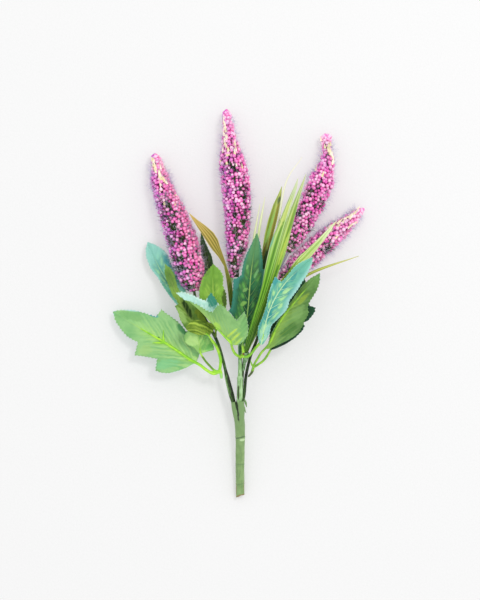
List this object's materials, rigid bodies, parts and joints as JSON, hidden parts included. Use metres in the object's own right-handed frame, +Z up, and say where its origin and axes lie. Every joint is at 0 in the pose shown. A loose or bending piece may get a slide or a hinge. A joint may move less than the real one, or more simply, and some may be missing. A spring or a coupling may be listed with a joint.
{
  "type": "artificial flower spray",
  "caption": "Artificial flower spray lying flat: tapering spikes of pink foam beads, lobed cloth leaves on green stalks and ribbed grass blades on one thick moulded stem.",
  "frame": {"origin": "centre of the spray's outline on the table, at table height", "axes": "+Y along the stem from its cut end to the spikes' tips, +Z up from the table it lies on"},
  "size_m": [0.2178, 0.3348, 0.0636],
  "materials": {
    "beads": "matte foam",
    "bristles": "matte",
    "cloth_teal": "printed woven cloth",
    "cloth_green": "printed woven cloth",
    "lime_moulding": "satin",
    "grass": "satin",
    "branch": "satin",
    "stem": "satin",
    "wire": "dull"
  },
  "bodies": {
    "root": {"branch_stem_centre": "branch", "branch_stem_inner": "branch", "branch_stem_left": "branch", "branch_stem_right": "branch", "grass_blade_broad_left": "grass", "grass_blade_broad_right": "grass", "grass_blade_crossing": "grass", "grass_blade_left": "grass", "grass_blade_low_right": "grass", "grass_blade_olive": "grass", "grass_blade_thread_left": "grass", "grass_blade_thread_middle": "grass", "grass_blade_thread_right": "grass", "grass_socket": "branch", "leaf_centre_dark": "cloth_teal", "leaf_curled": "cloth_green", "leaf_folded": "cloth_green", "leaf_left_broad": "cloth_green", "leaf_left_inner": "cloth_green", "leaf_left_outer": "cloth_teal", "leaf_left_shaded": "cloth_teal", "leaf_right_back": "cloth_green", "leaf_right_front": "cloth_teal", "leaf_right_shaded": "cloth_teal", "leaf_rounded": "cloth_green", "leaf_small": "cloth_green", "leaf_whorl_centre": "lime_moulding", "leaf_whorl_left_lower": "lime_moulding", "leaf_whorl_left_upper": "lime_moulding", "leaf_whorl_right": "lime_moulding", "main_stem": "stem", "spike_beads_centre": "beads", "spike_beads_inner": "beads", "spike_beads_left": "beads", "spike_beads_right": "beads", "spike_core_centre": "bristles", "spike_core_inner": "bristles", "spike_core_left": "bristles", "spike_core_right": "bristles", "stem_wire": "wire"}
  },
  "joints": []
}
